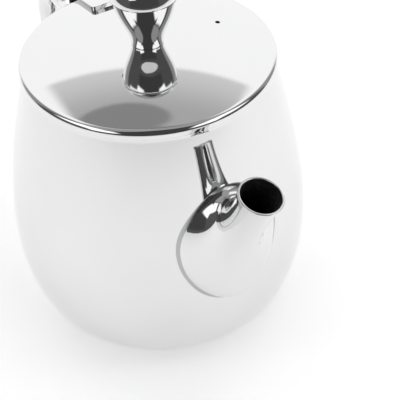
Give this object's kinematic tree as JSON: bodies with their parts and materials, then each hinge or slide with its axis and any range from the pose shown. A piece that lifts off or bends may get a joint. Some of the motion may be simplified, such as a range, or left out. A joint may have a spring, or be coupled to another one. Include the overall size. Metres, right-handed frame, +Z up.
{
  "type": "teapot",
  "caption": "Stainless steel teapot with a hinged domed lid, waisted knob, short egg-shaped spout behind a punched strainer, and a hollow handle",
  "frame": {"origin": "centre of the flat base, on the table", "axes": "+X points out of the spout, -X to the handle, +Z up along the axis of the pot"},
  "size_m": [0.1952, 0.132, 0.158],
  "materials": {
    "polished_steel": "mirror-polished stainless steel with fine wiping marks",
    "satin_steel": "plain stainless steel, as rolled or turned"
  },
  "bodies": {
    "pot": {"body_shell": "polished_steel", "base_plate": "satin_steel", "spout_shell": "polished_steel", "handle_left_shell": "polished_steel", "handle_right_shell": "polished_steel", "hinge_bracket": "polished_steel", "hinge_pin": "satin_steel"},
    "lid": {"lid_shell": "polished_steel", "lid_seat_ring": "satin_steel", "hinge_strap": "polished_steel", "knob_bell": "polished_steel", "knob_cap": "polished_steel", "knob_screw": "satin_steel", "knob_washer": "satin_steel"}
  },
  "joints": [
    {"name": "lid_hinge", "type": "hinge", "parent": "pot", "child": "lid", "pos_m": [-0.0575, 0, 0.122], "axis": [0, -1, 0], "range_deg": [0, 100]}
  ]
}
